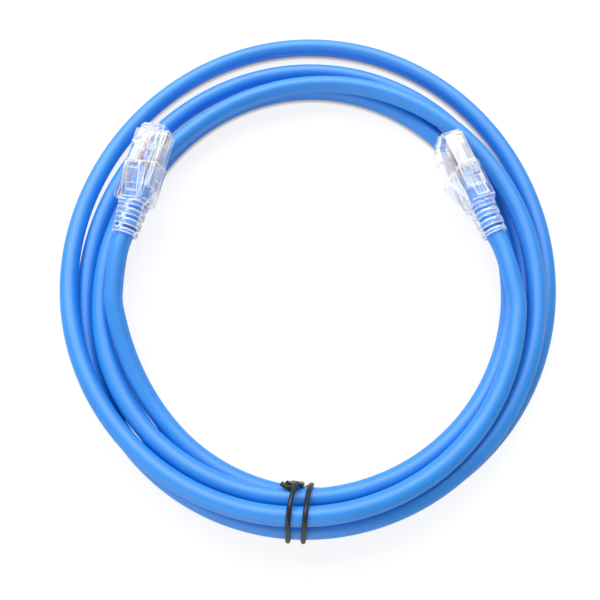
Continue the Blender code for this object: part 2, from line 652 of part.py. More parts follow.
def make_boot(key, frame):
    hood_w = TAIL_W + 2 * (BOOT_GAP + BOOT_WALL)
    hood_h = PLUG_H + 2 * (BOOT_GAP + BOOT_WALL)
    relief = [rounded_ring(0, RELIEF_END_D, RELIEF_END_D, RELIEF_END_D * RELIEF_ROUND[0]),
              rounded_ring(RELIEF_L, RELIEF_ROOT_W, RELIEF_ROOT_H, RELIEF_ROOT_H * RELIEF_ROUND[1])]
    hood = [rounded_ring(RELIEF_L + HOOD_CHAMFER / 3, hood_w - 2 * HOOD_CHAMFER,
                         max(hood_h - HOOD_CHAMFER, RELIEF_ROOT_H), HOOD_CORNER),
            rounded_ring(RELIEF_L + HOOD_CHAMFER, hood_w, hood_h, HOOD_CORNER),
            rounded_ring(HOOD_Y, hood_w, hood_h, HOOD_CORNER)]
    boot = add_object(f"plug_{key}_boot", loft(relief + hood, 40), "boot", frame)

    lever_back = HINGE_Y - sqrt(LEVER_L ** 2 + LEVER_H ** 2) - GUARD_TIP_GAP
    top = hood_h / 2
    sunk = top - BOOT_WALL / 2
    inner_half = LEVER_W / 2 + GUARD_SIDE_GAP
    outer_half = inner_half + GUARD_T
    ramp_end = RELIEF_L + HOOD_CHAMFER
    guard = [(HOOD_Y - GUARD_T / 2, sunk), (HOOD_Y - GUARD_T / 2, GUARD_FRONT_H),
             (lever_back + 2 * GUARD_T, GUARD_PEAK_H - GUARD_T / 4), (lever_back, GUARD_PEAK_H),
             (lever_back - GUARD_T, GUARD_PEAK_H - GUARD_T / 4),
             (ramp_end, top + GUARD_T / 4), (ramp_end, sunk)]
    combine(boot, prism(guard, 0, -outer_half, outer_half), "UNION", f"guard_{key}")

    bore = CORD_D + 2 * RELIEF_GAP
    inner_w, inner_h = TAIL_W + 2 * BOOT_GAP, PLUG_H + 2 * BOOT_GAP
    inner_corner = HOUSING_BEVEL + BOOT_GAP
    hollow = [rounded_ring(-BOOT_WALL, bore, bore, bore * ROUND),
              rounded_ring(HOOD_THROAT_Y, bore, bore, bore * ROUND),
              rounded_ring(TAIL_Y - PLUG_STANDOFF, inner_w, inner_h, inner_corner),
              rounded_ring(HOOD_Y + BOOT_WALL, inner_w, inner_h, inner_corner)]
    combine(boot, loft(hollow), "DIFFERENCE", f"hollow_{key}")

    plate = GUARD_T
    well = [(HOOD_Y + BOOT_WALL, inner_h / 2 - BOOT_WALL / 2), (HOOD_Y + BOOT_WALL, 2 * GUARD_PEAK_H),
            (lever_back, 2 * GUARD_PEAK_H), (lever_back, GUARD_PEAK_H - 1.5 * plate),
            (ramp_end + 3 * plate, top), (ramp_end + 3 * plate, inner_h / 2 - BOOT_WALL / 2)]
    combine(boot, prism(well, 0, -inner_half, inner_half), "DIFFERENCE", f"well_{key}")

    cuts = []
    for n in range(RELIEF_SLOTS):
        middle = (n + RELIEF_FIRST) * RELIEF_SLOT_PITCH
        for side, shift in ((-1, 0), (1, -RELIEF_SHIFT)):
            x = sorted((side * RELIEF_RIB / 2, side * RELIEF_ROOT_W))
            y = (middle + shift - RELIEF_SLOT_L / 2, middle + shift + RELIEF_SLOT_L / 2)
            cuts.append(box(x, y, (-RELIEF_ROOT_W, RELIEF_ROOT_W)))
    combine(boot, joined(cuts), "DIFFERENCE", f"relief_slots_{key}")
    return boot


def make_plug(key, matrix, parent):
    frame = add_empty(f"plug_{key}_frame", parent, matrix)
    make_housing(key, frame)
    make_contacts(key, frame)
    make_load_bar(key, frame)
    make_wires(key, frame)
    make_latch(key, frame)
    make_boot(key, frame)
    return frame


def main():
    clear_scene()
    frames = {key: plug_matrix(place) for key, place in PLUG_PLACES.items()}
    points, widths, turns, clocks = cable_route(frames)
    assembly = add_empty("assembly")
    make_cable(assembly, points, widths)
    tie = make_tie(assembly, turns, clocks)
    for key, matrix in frames.items():
        make_plug(key, matrix, assembly)

    # the middle of the floor under the whole coil becomes the origin
    sides = [(p, CORD_D / 2) for p in points] + [(p, TIE_D / 2) for p in tie]
    middle = [(min(p[k] - r for p, r in sides) + max(p[k] + r for p, r in sides)) / 2
              for k in (0, 1)]
    assembly.location = (-middle[0], -middle[1], 0)
    bpy.context.view_layer.update()

    gap, where, length = least_gap(points, CORD_D)
    print(f"cable: {length:.3f} m of jacket, least gap to itself {gap / MM:.2f} mm "
          f"at {where[0]:.4f} {where[1]:.4f} {where[2]:.4f}")
    gap, where, length = least_gap(tie, TIE_D)
    print(f"tie: {length:.3f} m, least gap to itself {gap / MM:.2f} mm "
          f"at {where[0]:.4f} {where[1]:.4f} {where[2]:.4f}, "
          f"lowest centre {min(p.z for p in tie) / MM:.2f} mm")
    print(f"origin shift {middle[0]:.5f} {middle[1]:.5f}")
    low = min(range(len(turns) - 1), key=lambda k: turns[k].z + turns[k + 1].z - turns[k].y * MM)
    rest = (turns[low] + turns[low + 1]) / 2 - Vector((*middle, 0))
    print(f"rest: {rest.x:.5f} {rest.y:.5f} 0")
    for key in frames:
        world = bpy.data.objects[f"plug_{key}_frame"].matrix_world
        turn = world.to_3x3()
        print(f"plug {key}: hinge {tuple(round(v, 5) for v in world @ Vector((0, HINGE_Y, HINGE_Z)))}"
              f" axis {tuple(round(v, 5) for v in turn @ Vector((1, 0, 0)))}"
              f" nose {tuple(round(v, 5) for v in world @ Vector((0, NOSE_Y, PLUG_H / 4)))}"
              f" normal {tuple(round(v, 5) for v in turn @ Vector((0, 1, 0)))}")


main()
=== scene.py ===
# Coiled ethernet patch cable with a clear plug on each end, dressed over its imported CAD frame.
from math import ceil, cos, floor, pi, radians, sin, sqrt

import bmesh
import bpy
import numpy as np
from mathutils import Matrix, Vector


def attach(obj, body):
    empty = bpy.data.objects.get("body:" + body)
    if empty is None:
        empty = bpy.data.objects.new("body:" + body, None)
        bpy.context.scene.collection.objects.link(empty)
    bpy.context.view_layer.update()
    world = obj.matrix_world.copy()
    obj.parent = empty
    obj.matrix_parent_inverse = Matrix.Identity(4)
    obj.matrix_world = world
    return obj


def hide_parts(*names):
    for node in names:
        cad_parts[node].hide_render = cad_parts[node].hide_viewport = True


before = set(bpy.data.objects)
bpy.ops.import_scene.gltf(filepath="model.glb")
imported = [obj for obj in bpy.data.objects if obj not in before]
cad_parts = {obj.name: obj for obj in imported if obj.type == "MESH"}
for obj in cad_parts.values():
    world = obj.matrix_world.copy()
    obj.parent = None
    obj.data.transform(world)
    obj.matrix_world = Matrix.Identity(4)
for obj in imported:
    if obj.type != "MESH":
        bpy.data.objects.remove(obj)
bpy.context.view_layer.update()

mm = 0.001
scene = bpy.context.scene


def hexColour(code):
    channels = [int(code[k:k + 2], 16) / 255 for k in (0, 2, 4)]
    return [c / 12.92 if c <= 0.04045 else ((c + 0.055) / 1.055) ** 2.4 for c in channels] + [1]


def addNode(tree, kind, settings=None, inputs=None):
    node = tree.nodes.new(kind)
    for key, value in (settings or {}).items():
        setattr(node, key, value)
    for key, value in (inputs or {}).items():
        if isinstance(value, bpy.types.NodeSocket):
            tree.links.new(value, node.inputs[key])
        else:
            node.inputs[key].default_value = value
    return node


def linkObject(name, data):
    piece = bpy.data.objects.new(name, data)
    scene.collection.objects.link(piece)
    return piece


def finishedMesh(source):
    # what the modifiers make of an object, as a plain mesh; the object itself goes
    bpy.context.view_layer.update()
    shape = source.evaluated_get(bpy.context.evaluated_depsgraph_get())
    mesh = bpy.data.meshes.new_from_object(shape)
    bpy.data.objects.remove(source, do_unlink=True)
    return mesh


camera = {
    "place": (-3.33 * mm, -89.5 * mm, 240.6 * mm),     # 18 degrees from straight down
    "target": (-3.33 * mm, -11.3 * mm, 0.0),
    "lens": 45.0,
    "sensor": 36.0,
    "clip": (0.005, 20.0),
}


def placeCamera(settings):
    data = bpy.data.cameras.new("photoCamera")
    data.lens, data.sensor_width = settings["lens"], settings["sensor"]
    data.clip_start, data.clip_end = settings["clip"]
    holder = linkObject("photoCamera", data)
    way = Vector(settings["target"]) - Vector(settings["place"])
    holder.location = settings["place"]
    holder.rotation_euler = way.to_track_quat("-Z", "Y").to_euler()
    scene.camera = holder


placeCamera(camera)
print("camera placed")

# The coil's route. Lanes and layers are one pitch wide; a clock angle runs from +Y towards +X.
coil = {
    "cordWide": 5.9 * mm,
    "turnGap": 0.5 * mm,
    "halfX": 79.5 * mm,
    "halfY": 85.9 * mm,
    "flatShare": 0.1,           # how flat the solids' tube is below, of its width
    "stepDeg": 15,
    "fineStepDeg": 5,
    "settleSweeps": 180,
    "settleEase": 0.1,
    "tieClock": 182.6,
    "tieLift": 0.43,
    "tieLiftSpan": 45.0,
    "squeeze": 0.85,            # the crimp squeezes the jacket inside each plug
    "plugReach": 6 * mm,
    "originShift": (-0.03 * mm, 0.99 * mm, 0.0),
    "fadeHeight": 11.4 * mm,    # up to here the round tube sits higher than the flattened one
    "pointGap": 1.5 * mm,
    "sides": 20,
}
laneRows = (
    ((84.6, 2.91), (90, 2.65), (105, 1.87), (120, 1.07), (135, .83), (150, .72), (180, .48),
     (210, .07), (225, -.03), (240, -.04), (270, .07), (300, .08), (330, .09)),
    ((0, -.06), (30, -.11), (60, .09), (90, -.04), (105, -.13), (120, -.13), (150, .09),
     (180, .35), (195, .46), (210, .6), (225, .72), (235, .9), (245, 1.3), (255, 1.8),
     (270, 2.24), (285, 2.5), (300, 2.68), (330, 3.08), (350, 3.15)),
    ((0, 3.05), (20, 2.85), (45, 2.62), (60, 2.55), (75, 2.35), (90, 2.15), (100, 1.9),
     (110, 1.67), (120, 1.56), (150, 1.54), (180, 1.45), (188, 1.05), (200, .8), (215, .71),
     (230, .9), (250, 1.3), (260, 1.5), (270, 1.92), (285, 2.45), (300, 2.9), (315, 3.4),
     (340, 3.73), (350, 3.64)),
    ((0, 3.53), (12, 3.2), (22, 2.75), (33, 2.34), (45, 1.93), (57, 1.64), (67, 1.32),
     (80, .98), (100, .6), (120, .3), (150, .12), (180, 0), (190, -.12), (205, -.23),
     (225, -.2), (240, .02), (255, .35), (270, .7), (285, 1.05), (300, 1.3), (330, 1.75)),
    ((0, 1.88), (15, 1.72), (32, 1.44), (45, 1.37), (55, 1.38), (65, 1.42), (76, 1.32),
     (87, 1.19), (98, 1.0), (108, .86), (120, .85), (137, .92), (155, 1.08), (178, 1.3),
     (188, 1.48), (197, 1.42), (205, 1.5), (222, 1.72), (231, 1.82), (240, 1.97),
     (248, 2.17), (258, 2.44), (268, 2.74), (274.2, 3.0)),
)
layerRows = (
    ((84.6, 1.78), (112, 1.81), (190, 1.78), (204, 1.75), (213, 1.65), (222, 1.42),
     (231, 1.1), (241, .99), (251, .88), (262, .72), (273, .5), (284, .19), (295, 0)),
    ((0, 0), (180, 0)),
    ((0, 0), (77, 0), (88, .16), (99, .63), (110, .76), (120, .82), (138, .83), (156, .88),
     (172, .96), (196, .98), (218, 1.0), (240, .96), (250, .88), (261, .76), (271, .85),
     (281, .91), (303, .98), (338, .99)),
    ((0, .98), (22, .91), (45, .99), (56, .98), (67, .9), (82, .85), (99, .9), (119, .98),
     (164, .99), (179, .94), (188, .82), (197, .72), (205, .58), (214, .33), (223, .13),
     (233, 0)),
    ((0, 0), (222, 0), (231, .2), (239, .85), (247, 1.56), (257, 1.88), (268, 2.12),
     (274.2, 2.24)),
)
plugPlaces = {
    "a": {"boot": (274.2, 3.0, 2.24), "nose": (309.28, 2.5, 2.65), "roll": 15.0},
    "b": {"boot": (84.6, 2.91, 1.78), "nose": (48.48, 2.976, 1.696), "roll": 88.0},
}
# A plug in its own frame: +Y out through the nose, +Z the latch's side, y = 0 the boot's free end.
plug = {
    "ways": 8, "wayPitch": 1.02 * mm, "slotWide": 0.62 * mm, "slotLong": 5.6 * mm,
    "wide": 11.68 * mm, "high": 6.5 * mm, "long": 21.46 * mm,
    "noseWide": 8.6 * mm, "noseStep": 1.8 * mm, "shoulder": 0.25 * mm,
    "tailWide": 10.4 * mm, "mouth": (7.2 * mm, 5.6 * mm), "hall": (9.4 * mm, 5.1 * mm),
    "hallSlope": 0.4 * mm, "root": (6.1 * mm, 0.8 * mm, 0.9 * mm),
    "reliefLong": 11.0 * mm, "hoodLong": 14.0 * mm, "noseOut": 13.5 * mm,
    "jacketInset": 15.0 * mm, "standoff": 0.8 * mm, "throatWall": 0.8 * mm,
    "sideStep": 0.25 * mm, "bandLow": -0.5 * mm, "bevel": 0.17 * mm,
}
noseY = plug["reliefLong"] + plug["hoodLong"] + plug["noseOut"]
tailY = noseY - plug["long"]
hoodY = plug["reliefLong"] + plug["hoodLong"]
throatY = plug["reliefLong"] + plug["throatWall"]
jacketEndY = noseY - plug["jacketInset"]
squeezeY = (throatY + plug["standoff"], tailY - plug["standoff"])
pitch = coil["cordWide"] + coil["turnGap"]
seatZ = (0.5 - coil["flatShare"]) * coil["cordWide"]


def readRows(rows, place):
    # a smooth value between rows of (place, value)
    places = [row[0] for row in rows]
    if place <= places[0]:
        return rows[0][1]
    if place >= places[-1]:
        return rows[-1][1]
    k = max(n for n in range(len(rows) - 1) if places[n] <= place)

    def slope(n):
        low, high = max(n - 1, 0), min(n + 1, len(rows) - 1)
        return (rows[high][1] - rows[low][1]) / (places[high] - places[low])

    span = places[k + 1] - places[k]
    t = (place - places[k]) / span
    start, end = rows[k][1], rows[k + 1][1]
    return ((2 * t ** 3 - 3 * t ** 2 + 1) * start + (t ** 3 - 2 * t ** 2 + t) * span * slope(k)
            + (3 * t ** 2 - 2 * t ** 3) * end + (t ** 3 - t ** 2) * span * slope(k + 1))


def wholeRoute(rowsByTurn):
    return [(360 * turn + clock, value) for turn, rows in enumerate(rowsByTurn)
            for clock, value in rows]


def tieLift(clock):
    away = min(abs(clock % 360 - coil["tieClock"]) / coil["tieLiftSpan"], 1)
    return coil["tieLift"] * cos(away * pi / 2) ** 2


def ringPoint(clock, lane, layer):
    turn = radians(clock)
    outer = 1 / sqrt((sin(turn) / coil["halfX"]) ** 2 + (cos(turn) / coil["halfY"]) ** 2)
    reach = outer - lane * pitch
    return Vector((reach * sin(turn), reach * cos(turn), seatZ + layer * pitch))


def settledTurns():
    # lane and layer at each step of the clock, with every turn at least a pitch from its neighbours
    lanes, layers, step = wholeRoute(laneRows), wholeRoute(layerRows), coil["stepDeg"]
    sweeps, ease = coil["settleSweeps"], coil["settleEase"]
    first = ceil((lanes[0][0] + step / 2) / step) * step
    last = floor((lanes[-1][0] - step / 2) / step) * step
    clocks = list(range(first, last + 1, step))
    spots = np.array([(readRows(lanes, c), max(readRows(layers, c), 0)) for c in clocks])
    aTurn = 360 // step
    neighbours = [(one, other) for one in range(len(clocks))
                  for other in range(one + aTurn, len(clocks), aTurn)]
    for sweep in range(sweeps):
        if sweep < sweeps * 2 / 3 and sweep % 3 == 0:
            spots[1:-1] = (1 - ease) * spots[1:-1] + ease / 2 * (spots[:-2] + spots[2:])
        for one, other in neighbours:
            after = 1 if other + 1 < len(clocks) else 0
            for share in (0, 0.25, 0.5, 0.75):
                apart = ((1 - share) * (spots[one] - spots[other])
                         + share * (spots[one + after] - spots[other + after]))
                reach = float(np.hypot(*apart))
                if reach < 1:
                    push = apart / reach * (1 - reach) / 2
                    for k, part in ((0, 1 - share), (after, share)):
                        spots[one + k] += push * part
                        spots[other + k] -= push * part
        spots[:, 1] = np.maximum(spots[:, 1], 0)
    return clocks, spots


def plugFrame(place):
    start, roll = ringPoint(*place["boot"]), radians(place["roll"])
    out = (ringPoint(*place["nose"]) - start).normalized()
    level = out.cross(Vector((0, 0, 1))).normalized()
    upright = level.cross(out).normalized()
    latchWay = upright * cos(roll) - level * sin(roll)
    across = out.cross(latchWay)
    turn = Matrix((across, out, latchWay)).transposed().to_4x4()
    return Matrix.Translation(start) @ turn


def smoothLine(points, gap):
    # a centripetal curve through the points, with a point about every gap
    points = [Vector(p) for p in points]
    ends = [points[0] * 2 - points[1]] + points + [points[-1] * 2 - points[-2]]
    line = []
    for near in zip(ends, ends[1:], ends[2:], ends[3:]):
        knots = [0.0]
        for here, there in zip(near, near[1:]):
            knots.append(knots[-1] + max((there - here).length, 1e-7) ** 0.5)
        count = max(1, round((near[2] - near[1]).length / gap))
        for k in range(count):
            t = knots[1] + (knots[2] - knots[1]) * k / count
            level = near
            for first, width in ((0, 1), (0, 2), (1, 1)):
                level = [(a * (high - t) + b * (t - low)) / (high - low) for a, b, low, high
                         in zip(level, level[1:], knots[first:], knots[first + width:])]
            line.append(level[0])
    return line + [points[-1]]


def roundSeat(point):
    # lifts a point from the flattened tube's height to the round tube's
    share = max(0.0, 1 - (point.z - seatZ) / coil["fadeHeight"])
    return point + Vector((0, 0, coil["flatShare"] * coil["cordWide"] * share))


clocks, spots = settledTurns()
laneFine = list(zip(clocks, spots[:, 0]))
layerFine = list(zip(clocks, spots[:, 1]))
turns = []
for clock in range(clocks[0], clocks[-1] + 1, coil["fineStepDeg"]):
    lane, layer = readRows(laneFine, clock), max(readRows(layerFine, clock), 0)
    turns.append((clock, roundSeat(ringPoint(clock, lane, layer + tieLift(clock)))))
frames = {key: plugFrame(place) for key, place in plugPlaces.items()}
insideY = (jacketEndY, squeezeY[1], squeezeY[0], 0.0, -coil["cordWide"])
shift = Matrix.Translation(coil["originShift"])
world = {key: shift @ matrix for key, matrix in frames.items()}
corners = ([frames["b"] @ Vector((0, y, 0)) for y in insideY]
           + [point for _, point in turns]
           + [frames["a"] @ Vector((0, y, 0)) for y in reversed(insideY)])
route = [shift @ p for p in smoothLine(corners, coil["pointGap"])]
routeLong = sum((there - here).length for here, there in zip(route, route[1:]))
print("route:", len(route), "points", round(routeLong, 4), "m")


def startMaterial(name, constants):
    material = bpy.data.materials.new(name)
    material.use_nodes = True
    tree = material.node_tree
    shader = tree.nodes["Principled BSDF"]
    for socket, value in constants.items():
        shader.inputs[socket].default_value = value
    return material, tree, shader


def unevenSurface(tree, shader, look):
    # a noise of the grain's size sets the roughness, and the relief where there is one
    place = addNode(tree, "ShaderNodeTexCoord")
    stretch = addNode(tree, "ShaderNodeMapping", inputs={
        "Vector": place.outputs["Object"], "Scale": look.get("stretch", (1.0, 1.0, 1.0))})
    noise = addNode(tree, "ShaderNodeTexNoise", inputs={
        "Vector": stretch.outputs["Vector"], "Scale": 1 / look["grain"], "Detail": look["detail"]})
    rough = addNode(tree, "ShaderNodeMapRange", inputs={
        "Value": noise.outputs["Fac"], "To Min": look["rough"][0], "To Max": look["rough"][1]})
    tree.links.new(rough.outputs["Result"], shader.inputs["Roughness"])
    if "relief" in look:
        strength, depth = look["relief"]
        bump = addNode(tree, "ShaderNodeBump", inputs={
            "Height": noise.outputs["Fac"], "Strength": strength, "Distance": depth})
        tree.links.new(bump.outputs["Normal"], shader.inputs["Normal"])
    return noise


jacketLook = {
    "tones": ((0.3, "0787e6"), (0.7, "0f8fee")), "cloud": 18.2 * mm,
    "grain": 0.385 * mm, "detail": 2.0, "rough": (0.44, 0.56),
    "drawLine": 0.714 * mm, "drawStretch": 0.03, "drawShare": 0.7, "drawRelief": (0.12, 0.05 * mm),
    "bend": 1.53, "gloss": 0.95,
}


def jacketMaterial(look):
    # soft PVC, extruded: matte, with faint draw lines along the cable and a fine grain, both drawn
    # coarser than they are so that they show
    material, tree, shader = startMaterial("pvcJacketExtruded", {
        "IOR": look["bend"], "Specular IOR Level": look["gloss"]})
    grain = unevenSurface(tree, shader, look)
    place = addNode(tree, "ShaderNodeTexCoord")
    cloud = addNode(tree, "ShaderNodeTexNoise", inputs={
        "Vector": place.outputs["Object"], "Scale": 1 / look["cloud"], "Detail": 2.0})
    tone = addNode(tree, "ShaderNodeValToRGB", inputs={"Fac": cloud.outputs["Fac"]})
    for element, (spot, code) in zip(tone.color_ramp.elements, look["tones"]):
        element.position, element.color = spot, hexColour(code)
    tree.links.new(tone.outputs["Color"], shader.inputs["Base Color"])
    drawn = addNode(tree, "ShaderNodeAttribute", {"attribute_name": "drawn"})
    stretch = addNode(tree, "ShaderNodeMapping", inputs={
        "Vector": drawn.outputs["Vector"], "Scale": (1.0, 1.0, look["drawStretch"])})
    lines = addNode(tree, "ShaderNodeTexNoise", inputs={
        "Vector": stretch.outputs["Vector"], "Scale": 1 / look["drawLine"], "Detail": 3.0})
    height = addNode(tree, "ShaderNodeMath", {"operation": "MULTIPLY_ADD"}, {
        0: lines.outputs["Fac"], 1: look["drawShare"], 2: grain.outputs["Fac"]})
    bump = addNode(tree, "ShaderNodeBump", inputs={
        "Height": height.outputs["Value"], "Strength": look["drawRelief"][0],
        "Distance": look["drawRelief"][1]})
    tree.links.new(bump.outputs["Normal"], shader.inputs["Normal"])
    return material


tieLook = {
    "tones": ((0.35, "17191f"), (0.8, "2d3038")),
    "grain": 1.11 * mm, "detail": 3.0, "rough": (0.28, 0.45), "relief": (0.2, 0.03 * mm),
}


def tieMaterial(look):
    # wire core in an extruded vinyl coat: charcoal, half matte, a little dusty
    material, tree, shader = startMaterial("vinylCoatedWire", {})
    dust = unevenSurface(tree, shader, look)
    tone = addNode(tree, "ShaderNodeValToRGB", inputs={"Fac": dust.outputs["Fac"]})
    for element, (spot, code) in zip(tone.color_ramp.elements, look["tones"]):
        element.position, element.color = spot, hexColour(code)
    tree.links.new(tone.outputs["Color"], shader.inputs["Base Color"])
    return material


# Each finish: tint, how clear it is, index of refraction, range of roughness.
plastics = {
    # injection-moulded polycarbonate: glass clear and glossy; its rounded edges and thick side
    # walls take whiter, less clear finishes, a painted highlight for the light they gather and that
    # reads white
    "polycarbonate": {
        "look": {"grain": 5.55 * mm, "detail": 2.0, "relief": (0.05, 0.1 * mm)},
        "finishes": {"Face": ("fbfcff", 0.95, 1.03, (0.02, 0.06)),
                     "Edge": ("fdfeff", 0.12, 1.1, (0.05, 0.12)),
                     "Side": ("f2f5fc", 0.85, 1.03, (0.04, 0.1)),
                     "SideSoftPaintedHighlight": ("f6f8ff", 0.55, 1.03, (0.04, 0.1)),
                     "SidePaintedHighlight": ("fbfcff", 0.3, 1.03, (0.04, 0.1))},
    },
    # soft clear PVC, moulded: a little hazier, with a trace of blue-white; its rounded edges take a
    # nearly white finish, a painted highlight
    "clearPvc": {
        "look": {"grain": 4.17 * mm, "detail": 2.0, "relief": (0.1, 0.1 * mm)},
        "finishes": {"Face": ("f6f9ff", 0.96, 1.03, (0.04, 0.12)),
                     "Edge": ("fbfdff", 0.16, 1.1, (0.08, 0.16))},
    },
}
clearSkin = {"Coat Weight": 1.0, "Coat Roughness": 0.03, "Coat IOR": 1.58}


def clearMaterial(name, look, tint, clearness, bend):
    # clear plastic: a glossy skin over walls so thin that they bend little light
    material, tree, shader = startMaterial(name, {
        **clearSkin, "Base Color": hexColour(tint), "Transmission Weight": clearness, "IOR": bend})
    unevenSurface(tree, shader, look)
    return material


goldLook = {"colour": "e8cb90", "grain": 0.25 * mm, "detail": 2.0, "rough": (0.18, 0.36),
            "stretch": (1.0, 0.2, 1.0)}


def goldMaterial(look):
    # phosphor bronze blade, gold plated: warm metal; its stamping lines are drawn coarse, to show
    material, tree, shader = startMaterial("goldPlatedBlade", {
        "Base Color": hexColour(look["colour"]), "Metallic": 1.0})
    unevenSurface(tree, shader, look)
    return material


# The first colour is the insulation's own, the second its stripe's.
wireLook = {
    "grain": 0.333 * mm, "detail": 2.0, "rough": (0.3, 0.45),
    "stripeTurn": 7 * mm, "stripeEdge": (0.35, 0.5),
    "colours": {"white_orange": ("f3ece2", "e08030"), "orange": ("df7a2c", "e28438"),
                "white_green": ("eef4ee", "49a865"), "blue": ("2f5fc4", "3566c8"),
                "white_blue": ("eef1f7", "3f70d0"), "green": ("3c9a58", "45a562"),
                "white_brown": ("efeae4", "7a5440"), "brown": ("5f4030", "6d4c3a")},
}


def wireMaterial(name, base, stripe, look):
    # polyethylene insulation: a plain colour, or white with a coloured stripe winding along it
    material, tree, shader = startMaterial("insulation" + name.title().replace("_", ""), {})
    unevenSurface(tree, shader, look)
    drawn = addNode(tree, "ShaderNodeAttribute", {"attribute_name": "drawn"})
    split = addNode(tree, "ShaderNodeSeparateXYZ", inputs={"Vector": drawn.outputs["Vector"]})
    angle = addNode(tree, "ShaderNodeMath", {"operation": "ARCTAN2"}, {
        0: split.outputs["Y"], 1: split.outputs["X"]})
    wind = addNode(tree, "ShaderNodeMath", {"operation": "MULTIPLY_ADD"}, {
        0: split.outputs["Z"], 1: 2 * pi / look["stripeTurn"], 2: angle.outputs["Value"]})
    side = addNode(tree, "ShaderNodeMath", {"operation": "COSINE"}, {0: wind.outputs["Value"]})
    band = addNode(tree, "ShaderNodeMapRange", inputs={
        "Value": side.outputs["Value"], "From Min": look["stripeEdge"][0],
        "From Max": look["stripeEdge"][1]})
    tone = addNode(tree, "ShaderNodeMix", {"data_type": "RGBA"}, {
        "Factor": band.outputs["Result"], 6: hexColour(base), 7: hexColour(stripe)})
    tree.links.new(tone.outputs[2], shader.inputs["Base Color"])
    return material


jacketPvc = jacketMaterial(jacketLook)
tieVinyl = tieMaterial(tieLook)
clear = {}
for plastic, settings in plastics.items():
    for part, (tint, clearness, bend, rough) in settings["finishes"].items():
        clear[plastic + part] = clearMaterial(plastic + part, {**settings["look"], "rough": rough},
                                              tint, clearness, bend)
goldPlate = goldMaterial(goldLook)
wirePe = {name: wireMaterial(name, *colours, wireLook)
          for name, colours in wireLook["colours"].items()}
# each list: faces, rounded edges in a painted white highlight, and then the housing's outer and
# inner side walls, with a brighter painted highlight on plug b's side walls than on plug a's
housingClear = {key: [clear["polycarbonate" + part] for part in parts] for key, parts in (
    ("a", ("Face", "Edge", "Side", "Face")), ("b", ("Face", "Edge", "SidePaintedHighlight", "SideSoftPaintedHighlight")))}
innerClear = [clear["polycarbonateFace"], clear["polycarbonateEdge"]]
bootClear = [clear["clearPvcFace"], clear["clearPvcEdge"]]
print("materials made")


# Two Geometry Nodes trees: a tube along a curve, and a row of one shape.
def startTree(name, inputs):
    tree = bpy.data.node_groups.new(name, "GeometryNodeTree")
    tree.interface.new_socket("Geometry", in_out="INPUT", socket_type="NodeSocketGeometry")
    for label, kind in inputs:
        tree.interface.new_socket(label, in_out="INPUT", socket_type=kind)
    tree.interface.new_socket("Geometry", in_out="OUTPUT", socket_type="NodeSocketGeometry")
    return tree, tree.nodes.new("NodeGroupInput"), tree.nodes.new("NodeGroupOutput")


def endTree(tree, geometry, material, result):
    real = addNode(tree, "GeometryNodeRealizeInstances", inputs={"Geometry": geometry})
    coated = addNode(tree, "GeometryNodeSetMaterial", inputs={
        "Geometry": real.outputs["Geometry"], "Material": material})
    tree.links.new(coated.outputs["Geometry"], result.inputs["Geometry"])
    return tree


def tubeTree():
    tree, given, result = startTree("tubeAlongCurve", (
        ("Radius", "NodeSocketFloat"), ("Sides", "NodeSocketInt"),
        ("Material", "NodeSocketMaterial")))
    place = addNode(tree, "GeometryNodeSplineParameter")
    along = addNode(tree, "GeometryNodeCaptureAttribute", {"domain": "POINT"}, {
        "Geometry": given.outputs["Geometry"]})
    along.capture_items.new("FLOAT", "Length")
    tree.links.new(place.outputs["Length"], along.inputs[1])
    circle = addNode(tree, "GeometryNodeCurvePrimitiveCircle", {"mode": "RADIUS"}, {
        "Resolution": given.outputs["Sides"], "Radius": given.outputs["Radius"]})
    spot = addNode(tree, "GeometryNodeInputPosition")
    around = addNode(tree, "GeometryNodeCaptureAttribute", {"domain": "POINT"}, {
        "Geometry": circle.outputs["Curve"]})
    around.capture_items.new("VECTOR", "Spot")
    tree.links.new(spot.outputs["Position"], around.inputs[1])
    tube = addNode(tree, "GeometryNodeCurveToMesh", inputs={
        "Curve": along.outputs["Geometry"], "Profile Curve": around.outputs["Geometry"],
        "Fill Caps": True})
    split = addNode(tree, "ShaderNodeSeparateXYZ", inputs={"Vector": around.outputs[1]})
    drawn = addNode(tree, "ShaderNodeCombineXYZ", inputs={
        "X": split.outputs["X"], "Y": split.outputs["Y"], "Z": along.outputs[1]})
    stored = addNode(
        tree, "GeometryNodeStoreNamedAttribute", {"data_type": "FLOAT_VECTOR", "domain": "POINT"},
        {"Geometry": tube.outputs["Mesh"], "Name": "drawn", "Value": drawn.outputs["Vector"]})
    smooth = addNode(tree, "GeometryNodeSetShadeSmooth", inputs={
        "Geometry": stored.outputs["Geometry"], "Shade Smooth": True})
    return endTree(tree, smooth.outputs["Geometry"], given.outputs["Material"], result)


def rowTree():
    tree, given, result = startTree("rowOfOneShape", (
        ("Count", "NodeSocketInt"), ("Start", "NodeSocketVector"), ("Step", "NodeSocketVector"),
        ("Material", "NodeSocketMaterial")))
    line = addNode(tree, "GeometryNodeMeshLine", {"mode": "OFFSET"}, {
        "Count": given.outputs["Count"], "Start Location": given.outputs["Start"],
        "Offset": given.outputs["Step"]})
    copies = addNode(tree, "GeometryNodeInstanceOnPoints", inputs={
        "Points": line.outputs["Mesh"], "Instance": given.outputs["Geometry"]})
    return endTree(tree, copies.outputs["Instances"], given.outputs["Material"], result)


def applyTree(source, tree, values):
    # runs a tree on an object and gives back its plain mesh
    modifier = source.modifiers.new(tree.name, "NODES")
    modifier.node_group = tree
    for item in tree.interface.items_tree:
        if item.in_out == "INPUT" and item.name in values:
            modifier[item.identifier] = values[item.name]
    return finishedMesh(source)


def curveThrough(points, radii=None):
    data = bpy.data.curves.new("line", "CURVE")
    data.dimensions = "3D"
    data.twist_mode = "MINIMUM"
    spline = data.splines.new("POLY")
    spline.points.add(len(points) - 1)
    for k, point in enumerate(points):
        spline.points[k].co = (*point, 1)
        spline.points[k].radius = radii[k] if radii else 1.0
    return linkObject("line", data)


tubeNodes, rowNodes = tubeTree(), rowTree()


